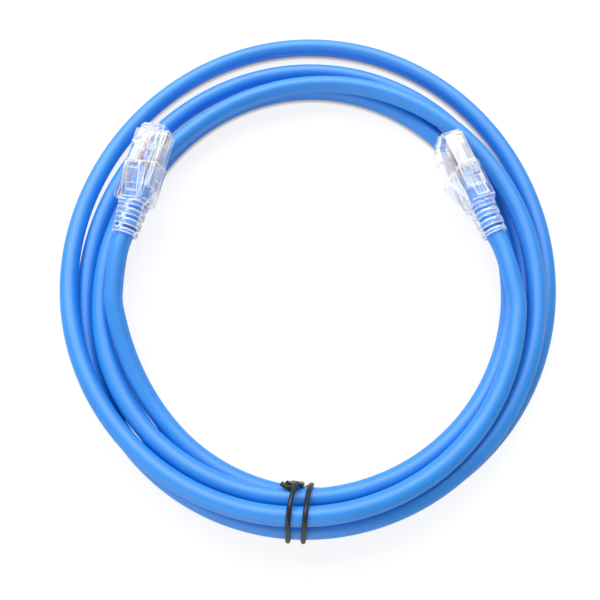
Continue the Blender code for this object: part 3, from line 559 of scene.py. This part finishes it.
def tubeMesh(points, width, sides, material, radii=None):
    return applyTree(curveThrough(points, radii), tubeNodes,
                     {"Radius": width / 2, "Sides": sides, "Material": material})


def jacketWidths(points):
    # the jacket's full width, and less inside each plug
    widths = []
    for point in points:
        width = 1.0
        for matrix in world.values():
            local = matrix.inverted() @ point
            if abs(local.x) < coil["plugReach"] and abs(local.z) < coil["plugReach"]:
                width = min(width, np.interp(local.y, squeezeY, (1.0, coil["squeeze"])))
        widths.append(float(width))
    return widths


cable = linkObject("cableJacket", tubeMesh(route, coil["cordWide"], coil["sides"], jacketPvc,
                                           jacketWidths(route)))
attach(cable, "root")
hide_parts("cable_jacket")
print("cable made")

# The wire tie. Rows: degrees from the inner side over the top, and in tie diameters the place along
# the cable and how far it stands off.
tie = {
    "wide": 1.5 * mm,
    "gap": 0.04 * mm,
    "sides": 12,
    "pointGap": 0.5 * mm,
    "turnStepDeg": 5,
    "coilClocks": (160, 200),   # the stretch of the coil that the tie can touch
    "smoothPasses": 16,
    "leanPasses": 120,          # evens out the lean of each turn, but leaves the ends as they are
    "endPoints": 44,
    "head": ((29, -5.9, .55), (36, -5.3, .3), (43, -4.65, .1), (49, -4.05, 0)),
    "path": ((45, -3.6, 0), (34, -3.35, 0), (20, -3.1, 0), (0, -2.85, 0), (-45, -2.7, 0),
             (-90, -2.3, 0), (-180, -1.5, 0), (-225, -1.45, 0), (-270, -1.4, 0), (-300, -1.1, 0),
             (-330, -.3, 0), (-345, .2, 0), (-360, .5, 0), (-390, .55, 0), (-405, 0, .35),
             (-420, -1.1, 1.0), (-435, -2.4, 1.0), (-450, -3.5, .4), (-465, -4.1, 0),
             (-490, -4.4, 0), (-540, -4.55, 0), (-585, -4.65, 0), (-630, -4.6, 0),
             (-650, -4.55, .05), (-660, -4.4, .4)),
    # the second end goes over the first, down the inner side, and comes back up on its left
    "tail": ((-667, -4.0, .9), (-674, -3.5, 1.15), (-683, -2.8, 1.05), (-692, -2.2, .55),
             (-702, -1.85, .15), (-715, -1.75, 0), (-730, -1.75, 0), (-745, -1.95, .15),
             (-757, -2.35, .7), (-762, -2.95, 1.1), (-757, -3.6, .75), (-745, -3.9, .2),
             (-725, -3.95, 0), (-706, -4.0, .05), (-697, -4.15, .25), (-691, -4.4, .5),
             (-689, -4.75, .85)),
}


def tiePoint(turn, along, extra):
    way = (cos(radians(turn)), sin(radians(turn)))
    along, extra = along * tie["wide"], extra * tie["wide"]
    first, last = tie["coilClocks"]
    centres = []
    for (clock, point), (_, after) in zip(turns, turns[1:]):
        if first <= clock % 360 <= last and after.x <= along < point.x:
            spot = point.lerp(after, (point.x - along) / (point.x - after.x))
            centres.append((spot.y, spot.z))
    y, z = max(centres, key=lambda c: c[0] * way[0] + c[1] * way[1])
    out = coil["cordWide"] / 2 + tie["gap"] + tie["wide"] / 2 + extra
    return shift @ Vector((along, y + way[0] * out, z + way[1] * out))


def tiePoints():
    places = [(-turn, along) for turn, along, _ in tie["path"]]
    extras = [(-turn, extra) for turn, _, extra in tie["path"]]
    points = [tiePoint(*row) for row in tie["head"]]
    for turn in range(places[0][0], places[-1][0] + 1, tie["turnStepDeg"]):
        points.append(tiePoint(-turn, readRows(places, turn), max(readRows(extras, turn), 0)))
    points += [tiePoint(*row) for row in tie["tail"]]
    line = smoothLine(points, tie["pointGap"])
    even = [line[0]]
    for here, there in zip(line, line[1:]):     # the same step all along, so that smoothing is even
        while (there - even[-1]).length > tie["pointGap"]:
            even.append(even[-1] + (there - even[-1]).normalized() * tie["pointGap"])
    for _ in range(tie["leanPasses"]):
        lean = [point.x for point in even]
        for n in range(tie["endPoints"], len(even) - tie["endPoints"]):
            even[n].x = (lean[n - 1] + lean[n] * 2 + lean[n + 1]) / 4
    for _ in range(tie["smoothPasses"]):
        even = ([even[0]] + [(a + b * 2 + c) / 4 for a, b, c in zip(even, even[1:], even[2:])]
                + [even[-1]])
    return even


tiePiece = linkObject("wireTie", tubeMesh(tiePoints(), tie["wide"], tie["sides"], tieVinyl))
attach(tiePiece, "root")
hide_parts("wire_tie")
print("tie made")

# For every carved solid: its welding, which edges are rounded or sharp, what is a side wall.
carving = {
    "weld": 0.002 * mm, "roundFromDeg": 32, "sharpFromDeg": 24,
    "sideFacing": 0.95, "sideNear": 0.05 * mm,
}


def loft(rings):
    build = bmesh.new()
    rows = [[build.verts.new(point) for point in ring] for ring in rings]
    count = len(rows[0])
    for row, following in zip(rows, rows[1:]):
        for k in range(count):
            after = (k + 1) % count
            build.faces.new((row[k], row[after], following[after], following[k]))
    build.faces.new(list(reversed(rows[0])))
    build.faces.new(rows[-1])
    bmesh.ops.recalc_face_normals(build, faces=build.faces)
    mesh = bpy.data.meshes.new("loft")
    build.to_mesh(mesh)
    build.free()
    return mesh


def prism(outline, axis, low, high):
    others = [k for k in range(3) if k != axis]
    rings = []
    for place in (low, high):
        ring = []
        for pair in outline:
            point = [0, 0, 0]
            point[axis] = place
            point[others[0]], point[others[1]] = pair
            ring.append(point)
        rings.append(ring)
    return loft(rings)


def box(x, y, z):
    return prism(((x[0], z[0]), (x[1], z[0]), (x[1], z[1]), (x[0], z[1])), 1, *y)


def joined(meshes):
    build = bmesh.new()
    for mesh in meshes:
        build.from_mesh(mesh)
    whole = bpy.data.meshes.new("row")
    build.to_mesh(whole)
    build.free()
    return whole


def roundedRing(y, width, height, corner, middleZ=0.0, steps=6):
    ring = []
    for quarter in range(4):
        sideX, sideZ = (1, -1, -1, 1)[quarter], (1, 1, -1, -1)[quarter]
        for k in range(steps + 1):
            turn = radians(90 * (quarter + k / steps))
            ring.append((sideX * (width / 2 - corner) + corner * cos(turn), y,
                         middleZ + sideZ * (height / 2 - corner) + corner * sin(turn)))
    return ring


def roundRing(y, width, middleZ=0.0, steps=6):
    return roundedRing(y, width, width, width * 0.49, middleZ, steps)


def plainRing(y, width, height, middleZ=0.0):
    x, z = width / 2, height / 2
    return [(x, y, middleZ + z), (-x, y, middleZ + z), (-x, y, middleZ - z), (x, y, middleZ - z)]


def carved(mesh, joins, cuts, bevel, segments=2, finishes=(), sideSpots=()):
    # joins and then cuts a mesh and rounds its edges, which take the second finish; the faces that
    # look sideways at each of sideSpots take the ones after it
    for part in (mesh, *joins, *cuts):
        for finish in finishes:
            part.materials.append(finish)
    whole, helpers = linkObject("carved", mesh), []
    for k, tool in enumerate((*joins, *cuts)):
        operation = "UNION" if k < len(joins) else "DIFFERENCE"
        helpers.append(linkObject("tool", tool))
        modifier = whole.modifiers.new(operation, "BOOLEAN")
        modifier.operation, modifier.object, modifier.solver = operation, helpers[-1], "EXACT"
    merge = whole.modifiers.new("merge", "WELD")
    merge.merge_threshold = carving["weld"]
    edges = whole.modifiers.new("edges", "BEVEL")
    edges.width, edges.segments, edges.limit_method = bevel, segments, "ANGLE"
    edges.angle_limit = radians(carving["roundFromDeg"])
    edges.material = 1 if len(finishes) > 1 else -1
    edges.use_clamp_overlap = False
    result = finishedMesh(whole)
    for helper in helpers:
        bpy.data.objects.remove(helper, do_unlink=True)
    for face in result.polygons:
        for k, spot in enumerate(sideSpots):
            if face.material_index == 0 and abs(face.normal.x) > carving["sideFacing"] \
                    and abs(abs(face.center.x) - spot) < carving["sideNear"]:
                face.material_index = 2 + k
    result.shade_smooth()
    result.set_sharp_from_angle(angle=radians(carving["sharpFromDeg"]))
    return result


def wayX(way):
    return (way - (plug["ways"] - 1) / 2) * plug["wayPitch"]


# The row of wires in the nose, which the housing leaves room for.
wireRow = {
    "z": -0.2 * mm, "wide": 0.8 * mm, "room": 0.25 * mm, "frontWall": 1.6 * mm, "endGap": 0.3 * mm,
    "pointGap": 0.35 * mm, "sides": 10, "fanShares": (0.2, 0.4, 0.6, 0.8), "fanEnd": 0.9,
}


def housingMesh(finishes):
    halfW, halfNose, halfTail = plug["wide"] / 2, plug["noseWide"] / 2, plug["tailWide"] / 2
    stepY, shoulderY = noseY - plug["noseStep"], hoodY + plug["shoulder"]
    right = [(halfTail, tailY), (halfTail, hoodY), (halfW, shoulderY), (halfW, stepY),
             (halfNose, stepY), (halfNose, noseY)]
    outline = right + [(-x, y) for x, y in reversed(right)]
    rootWide, rootLong, rootHigh = plug["root"]
    root = box((-rootWide / 2, rootWide / 2), (noseY - rootLong, noseY),
               (plug["high"] / 2 - rootLong / 2, plug["high"] / 2 + rootHigh))
    hallBack, hallFront = noseY - plug["noseOut"], noseY - plug["slotLong"]
    rowWide = plug["ways"] * plug["wayPitch"] + wireRow["room"]
    rowHigh = wireRow["wide"] + 2 * wireRow["room"]
    slope = plug["hallSlope"]
    hall = loft([plainRing(tailY - slope, *plug["mouth"]), plainRing(hallBack, *plug["mouth"]),
                 plainRing(hallBack + slope, *plug["hall"]),
                 plainRing(hallFront - 2 * slope, *plug["hall"]),
                 plainRing(hallFront - slope, rowWide, rowHigh, wireRow["z"]),
                 plainRing(noseY - wireRow["frontWall"], rowWide, rowHigh, wireRow["z"])])
    slotTop = wireRow["z"] - rowHigh / 2 + wireRow["room"] / 4
    slots = joined([box((wayX(n) - plug["slotWide"] / 2, wayX(n) + plug["slotWide"] / 2),
                        (hallFront, noseY + mm), (-plug["high"], slotTop))
                    for n in range(plug["ways"])])
    sideSteps = joined([box(sorted((side * (halfW - plug["sideStep"]), side * plug["wide"])),
                            (shoulderY + 2 * slope, stepY - 2 * slope),
                            (-plug["high"], plug["bandLow"])) for side in (-1, 1)])
    return carved(prism(outline, 2, -plug["high"] / 2, plug["high"] / 2), [root],
                  [hall, slots, sideSteps], plug["bevel"], finishes=finishes,
                  sideSpots=(halfW, halfW - plug["sideStep"]))


blade = {
    "thick": 0.32 * mm, "long": 3.4 * mm, "inset": 1.9 * mm, "sunk": 0.2 * mm, "gap": 0.08 * mm,
    "bevel": 0.05 * mm,
}


def bladeMesh():
    front, back = noseY - blade["inset"], noseY - blade["inset"] - blade["long"]
    low = -plug["high"] / 2 + blade["sunk"]
    high = wireRow["z"] - wireRow["wide"] / 2 - blade["gap"]
    neck, bend, third = high - wireRow["wide"] / 2, blade["long"] / 5, blade["long"] / 3
    corner = [(front - bend + bend * sin(radians(a)), low + bend - bend * cos(radians(a)))
              for a in range(0, 91, 15)]
    outline = [(back, low)] + corner + [
        (front, neck), (front - third / 2, high), (front - third, neck),
        (back + third, neck), (back + third / 2, high), (back, neck)]
    one = carved(prism(outline, 0, -blade["thick"] / 2, blade["thick"] / 2), [], [],
                 blade["bevel"], 1)
    return applyTree(linkObject("blade", one), rowNodes,
                     {"Count": plug["ways"], "Start": (wayX(0), 0.0, 0.0),
                      "Step": (plug["wayPitch"], 0.0, 0.0), "Material": goldPlate})


bar = {
    "long": 2.8 * mm, "back": 9.0 * mm, "hole": 1.0 * mm, "stagger": 0.42 * mm, "gap": 0.15 * mm,
    "bevel": 0.06 * mm,
}
pairs = {"x": (0.85 * mm, 1.85 * mm), "z": 1.1 * mm}    # where the pairs leave the jacket


def barHoleZ(way):
    return wireRow["z"] + (bar["stagger"] if way % 2 else -bar["stagger"])


def wirePoints(way):
    side = -1 if way < plug["ways"] / 2 else 1
    x0 = side * (pairs["x"][0] if 2 <= way < 6 else pairs["x"][1])
    z0 = pairs["z"] if way % 2 else -pairs["z"]
    x1, z1 = wayX(way), barHoleZ(way)
    start, back = jacketEndY + wireRow["endGap"], noseY - bar["back"]
    fan, fanEnd = back - start, wireRow["fanEnd"]
    points = [(x0, start, z0)]
    for share in wireRow["fanShares"]:
        ease = share * share * (3 - 2 * share)
        points.append((x0 + (x1 - x0) * ease, start + fan * share * fanEnd, z0 + (z1 - z0) * ease))
    points += [(x1, start + fan * fanEnd, z1), (x1, back + bar["long"] + wireRow["endGap"] / 2, z1),
               (x1, noseY - plug["slotLong"] + wireRow["endGap"], wireRow["z"]),
               (x1, noseY - wireRow["frontWall"] - wireRow["endGap"], wireRow["z"])]
    return smoothLine(points, wireRow["pointGap"])


def barMesh():
    back, holes = noseY - bar["back"], []
    width, height = plug["hall"][0] - 2 * bar["gap"], plug["hall"][1] - 2 * bar["gap"]
    for n in range(plug["ways"]):
        ends = [roundRing(y, bar["hole"], barHoleZ(n), 3)
                for y in (back - bar["long"], back + 2 * bar["long"])]
        holes.append(loft([[(x + wayX(n), y, z) for x, y, z in ring] for ring in ends]))
    block = loft([roundedRing(y, width, height, bar["hole"] / 2, steps=4)
                  for y in (back, back + bar["long"])])
    return carved(block, [], [joined(holes)], bar["bevel"], 1, finishes=innerClear)


latch = {
    "thick": 0.9 * mm, "wide": 6.1 * mm, "lever": 3.2 * mm, "gap": 0.15 * mm,
    "rise": (3.4 * mm, 2.15 * mm), "shoulderBack": 7.6 * mm, "shoulderHigh": 0.6 * mm,
    "leverLong": 15.0 * mm, "leverHigh": 4.35 * mm,
    "bendAt": 0.62, "bendLift": 0.14, "rootClear": 0.4 * mm, "pointGap": 0.5 * mm,
    "bevel": 0.16 * mm,
}
hingeY = noseY - plug["root"][1] - latch["gap"] - latch["thick"] / 2
hingeZ = plug["high"] / 2 + latch["gap"] + latch["thick"] / 2


def strapRing(spot, way, width, low, high):
    along = Vector(way).normalized()
    up = Vector((along.y, -along.x))
    bottom, top = Vector(spot) + up * low, Vector(spot) + up * high
    x, y0, z0 = width / 2, hingeY, hingeZ
    return [(x, y0 + top.x, z0 + top.y), (-x, y0 + top.x, z0 + top.y),
            (-x, y0 + bottom.x, z0 + bottom.y), (x, y0 + bottom.x, z0 + bottom.y)]


def latchMesh():
    half = latch["thick"] / 2
    rings = []
    for a in (84, 66, 48, 30, 12):      # the rounded root
        ahead, tall = half * sin(radians(a)), half * cos(radians(a))
        rings.append(strapRing((ahead, 0), (-1, 0), latch["wide"], -tall, tall))
    rise = Vector((-latch["rise"][0], latch["rise"][1]))
    tip = Vector((-latch["leverLong"], latch["leverHigh"]))
    shoulder = rise.lerp(tip, (latch["shoulderBack"] - latch["rise"][0])
                         / (latch["leverLong"] - latch["rise"][0]))
    line = (tip - rise).normalized()
    bend = rise * latch["bendAt"] + Vector((0, latch["rise"][1] * latch["bendLift"]))
    spine = smoothLine([(0, 0, 0), (*(rise * (latch["bendAt"] / 2)), 0), (*bend, 0), (*rise, 0),
                        (*shoulder, 0)], latch["pointGap"])
    spine = [Vector((p.x, p.y)) for p in spine if -latch["rootClear"] > p.x > shoulder.x + half]
    for here, after in zip(spine, spine[1:] + [shoulder]):
        rings.append(strapRing(here, after - here, latch["wide"], -half, half))
    high = half + latch["shoulderHigh"]
    for spot, width, low, top in (
            (shoulder - line * half, latch["wide"], -half, high),
            (shoulder, latch["wide"], -half, high),
            (shoulder + line * latch["gap"], latch["lever"], -half, half),
            (tip - line * half, latch["lever"], -half, half),
            (tip, latch["lever"] - half, -half / 2, half / 2)):
        rings.append(strapRing(spot, line, width, low, top))
    return carved(loft(rings), [], [], latch["bevel"], finishes=innerClear)


boot = {
    "wall": 0.7 * mm, "gap": 0.25 * mm, "reliefGap": 0.3 * mm,
    "endWide": 8.1 * mm, "endCorner": 0.45,
    "rootWide": 9.5 * mm, "rootHigh": 8.4 * mm, "rootCorner": 0.36, "corner": 1.5 * mm,
    "innerCorner": 0.5 * mm, "chamfer": 0.9 * mm, "bevel": 0.22 * mm,
    "slots": 3, "slotLong": 1.2 * mm, "slotPitch": 3.4 * mm, "slotFirst": 0.68, "rib": 1.3 * mm,
    "slotShift": 0.3 * mm, "slotHigh": 20 * mm,
    "guard": 0.8 * mm, "guardSide": 0.6 * mm, "peak": 7.9 * mm, "front": 5.2 * mm,
    "tipGap": 0.6 * mm,
    "window": (5.4 * mm, 12.0 * mm), "windowHigh": (-1.9 * mm, 1.6 * mm), "windowDeep": 0.3 * mm,
}


def bootMesh():
    hoodW = plug["tailWide"] + 2 * (boot["gap"] + boot["wall"])
    hoodH = plug["high"] + 2 * (boot["gap"] + boot["wall"])
    relief, chamfer = plug["reliefLong"], boot["chamfer"]
    body = loft([
        roundedRing(0, boot["endWide"], boot["endWide"], boot["endWide"] * boot["endCorner"]),
        roundedRing(relief, boot["rootWide"], boot["rootHigh"],
                    boot["rootHigh"] * boot["rootCorner"]),
        roundedRing(relief + chamfer / 3, hoodW - 2 * chamfer,
                    max(hoodH - chamfer, boot["rootHigh"]), boot["corner"]),
        roundedRing(relief + chamfer, hoodW, hoodH, boot["corner"]),
        roundedRing(hoodY, hoodW, hoodH, boot["corner"])])
    # two rails guard the lever, with a ramp up to them
    guard, top, peak = boot["guard"], hoodH / 2, boot["peak"]
    leverBack = hingeY - sqrt(latch["leverLong"] ** 2 + latch["leverHigh"] ** 2) - boot["tipGap"]
    sunk, innerHalf = top - boot["wall"] / 2, latch["lever"] / 2 + boot["guardSide"]
    rampEnd = relief + chamfer
    rail = [(hoodY - guard / 2, sunk), (hoodY - guard / 2, boot["front"]),
            (leverBack + 2 * guard, peak - guard / 4), (leverBack, peak),
            (leverBack - guard, peak - guard / 4), (rampEnd, top + guard / 4), (rampEnd, sunk)]
    bore = coil["cordWide"] + 2 * boot["reliefGap"]
    innerW, innerH = plug["tailWide"] + 2 * boot["gap"], plug["high"] + 2 * boot["gap"]
    hollow = loft([roundRing(-mm, bore), roundRing(throatY, bore),
                   roundedRing(tailY - plug["standoff"], innerW, innerH, boot["innerCorner"]),
                   roundedRing(hoodY + mm, innerW, innerH, boot["innerCorner"])])
    wellLow = innerH / 2 - boot["wall"] / 2
    well = [(hoodY + mm, wellLow), (hoodY + mm, 2 * peak), (leverBack, 2 * peak),
            (leverBack, peak - 1.5 * guard), (rampEnd + 3 * guard, top),
            (rampEnd + 3 * guard, wellLow)]
    cuts = [box(sorted((side * (hoodW / 2 - boot["windowDeep"]), side * hoodW)),
                (hoodY - boot["window"][1], hoodY - boot["window"][0]), boot["windowHigh"])
            for side in (-1, 1)]
    for n in range(boot["slots"]):
        for side, away in ((-1, 0), (1, -boot["slotShift"])):
            middle = (n + boot["slotFirst"]) * boot["slotPitch"] + away
            cuts.append(box(sorted((side * boot["rib"] / 2, side * boot["rootWide"])),
                            (middle - boot["slotLong"] / 2, middle + boot["slotLong"] / 2),
                            (-boot["slotHigh"] / 2, boot["slotHigh"] / 2)))
    return carved(body, [prism(rail, 0, -innerHalf - guard, innerHalf + guard)],
                  [hollow, prism(well, 0, -innerHalf, innerHalf), joined(cuts)],
                  boot["bevel"], finishes=bootClear)


def plugPiece(name, mesh, key, body, nodes):
    # a mesh drawn in the plug's frame becomes a piece at that plug's place on the coil
    mesh.transform(world[key])
    piece = linkObject(name, mesh)
    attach(piece, body)
    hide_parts(*(f"plug_{key}_{node}" for node in nodes))
    return piece


for key in ("a", "b"):
    contacts = [f"contact_{n + 1}" for n in range(plug["ways"])]
    for name, mesh, body, nodes, slotName in (
            ("housing", housingMesh(housingClear[key]), "root", ["housing"], "clear_housing"),
            ("blades", bladeMesh(), "root", contacts, "contact_gold"),
            ("loadBar", barMesh(), "root", ["load_bar"], "clear_housing"),
            ("latch", latchMesh(), f"latch_{key}", ["latch"], "clear_housing"),
            ("boot", bootMesh(), "root", ["boot"], "clear_boot")):
        plugPiece(f"{name}_{key}", mesh, key, body, nodes)
    for n, (colour, insulation) in enumerate(wirePe.items()):
        mesh = tubeMesh(wirePoints(n), wireRow["wide"], wireRow["sides"], insulation)
        plugPiece(f"wire_{key}_{n + 1}", mesh, key, "root", [f"wire_{n + 1}"])
    print("plug", key, "made")

# The floor, the lights and the surroundings.
studio = {
    "floorHalf": 3.0, "floorColour": "f1f1f2", "floorSeen": "7c7c7e", "floorGlow": 0.84,
    "floorGrain": 1.11 * mm, "floorRelief": (0.03, 0.05 * mm),
    "floorRough": 0.9, "floorGloss": 0.1,
    # how far from the coil the floor's painted contact shade reaches
    "paintedShadeReach": 1.5 * mm, "glossShare": 0.35,
    "worldLow": 0.24, "worldHigh": 0.42, "worldWay": (-0.25, 0.66, 0.7), "worldFade": (-0.5, 0.9),
    "lights": (("backSoftbox", (-0.1, 0.5, 0.6), (1.1, 0.6), 8.1),
               ("frontSoftbox", (-0.25, -0.55, 0.3), (1.0, 0.4), 1.8)),
}


def seenDirectly(tree):
    # 1 for rays that come from the eye or through clear plastic, less for a reflection
    path = addNode(tree, "ShaderNodeLightPath")
    gloss = addNode(tree, "ShaderNodeMath", {"operation": "MULTIPLY"}, {
        0: path.outputs["Is Glossy Ray"], 1: studio["glossShare"]})
    either = addNode(tree, "ShaderNodeMath", {"operation": "MAXIMUM"}, {
        0: path.outputs["Is Camera Ray"], 1: gloss.outputs["Value"]})
    seen = addNode(tree, "ShaderNodeMath", {"operation": "MAXIMUM"}, {
        0: either.outputs["Value"], 1: path.outputs["Is Transmission Ray"]})
    return seen.outputs["Value"]


def makeFloor():
    # a sweep of matt paper that glows white to the eye; the glow fades where something nearly
    # touches it, a painted contact shadow
    build = bmesh.new()
    bmesh.ops.create_grid(build, x_segments=1, y_segments=1, size=studio["floorHalf"])
    mesh = bpy.data.meshes.new("floor")
    build.to_mesh(mesh)
    build.free()
    material, tree, shader = startMaterial("paperSweep", {
        "Roughness": studio["floorRough"], "Specular IOR Level": studio["floorGloss"],
        "Emission Color": (1, 1, 1, 1)})
    place = addNode(tree, "ShaderNodeTexCoord")
    grain = addNode(tree, "ShaderNodeTexNoise", inputs={
        "Vector": place.outputs["Object"], "Scale": 1 / studio["floorGrain"]})
    bump = addNode(tree, "ShaderNodeBump", inputs={
        "Height": grain.outputs["Fac"], "Strength": studio["floorRelief"][0],
        "Distance": studio["floorRelief"][1]})
    tree.links.new(bump.outputs["Normal"], shader.inputs["Normal"])
    seen = seenDirectly(tree)
    tone = addNode(tree, "ShaderNodeMix", {"data_type": "RGBA"}, {
        "Factor": seen, 6: hexColour(studio["floorColour"]), 7: hexColour(studio["floorSeen"])})
    tree.links.new(tone.outputs[2], shader.inputs["Base Color"])
    # painted shade: ambient occlusion dims the floor's glow within a short reach of the coil
    near = addNode(tree, "ShaderNodeAmbientOcclusion", {"samples": 8}, {
        "Distance": studio["paintedShadeReach"]})
    share = addNode(tree, "ShaderNodeMath", {"operation": "MULTIPLY"}, {
        0: seen, 1: near.outputs["AO"]})
    glow = addNode(tree, "ShaderNodeMath", {"operation": "MULTIPLY"}, {
        0: share.outputs["Value"], 1: studio["floorGlow"]})
    tree.links.new(glow.outputs["Value"], shader.inputs["Emission Strength"])
    mesh.materials.append(material)
    linkObject("floor", mesh)


def makeWorld():
    surroundings = bpy.data.worlds.new("studio")
    scene.world = surroundings
    surroundings.use_nodes = True
    tree = surroundings.node_tree
    background = tree.nodes["Background"]
    background.inputs["Color"].default_value = (1, 1, 1, 1)
    # a dome that is brighter above and behind the object than low in front of it
    way = addNode(tree, "ShaderNodeTexCoord")
    slope = addNode(tree, "ShaderNodeVectorMath", {"operation": "DOT_PRODUCT"}, {
        0: way.outputs["Generated"], 1: studio["worldWay"]})
    dome = addNode(tree, "ShaderNodeMapRange", inputs={
        "Value": slope.outputs["Value"],
        "From Min": studio["worldFade"][0], "From Max": studio["worldFade"][1],
        "To Min": studio["worldLow"], "To Max": studio["worldHigh"]})
    path = addNode(tree, "ShaderNodeLightPath")
    direct = addNode(tree, "ShaderNodeMath", {"operation": "MAXIMUM"}, {
        0: path.outputs["Is Camera Ray"], 1: path.outputs["Is Transmission Ray"]})
    level = addNode(tree, "ShaderNodeMix", {"data_type": "FLOAT"}, {
        0: direct.outputs["Value"], 2: dome.outputs["Result"], 3: 1.0})
    tree.links.new(level.outputs[0], background.inputs["Strength"])


def makeLights():
    for name, place, size, power in studio["lights"]:
        data = bpy.data.lights.new(name, "AREA")
        data.shape, data.energy = "RECTANGLE", power
        data.size, data.size_y = size
        lamp = linkObject(name, data)
        lamp.location = place
        lamp.rotation_euler = (-Vector(place)).to_track_quat("-Z", "Y").to_euler()


makeFloor()
makeWorld()
makeLights()
scene.view_settings.view_transform = "Standard"
print("studio made")
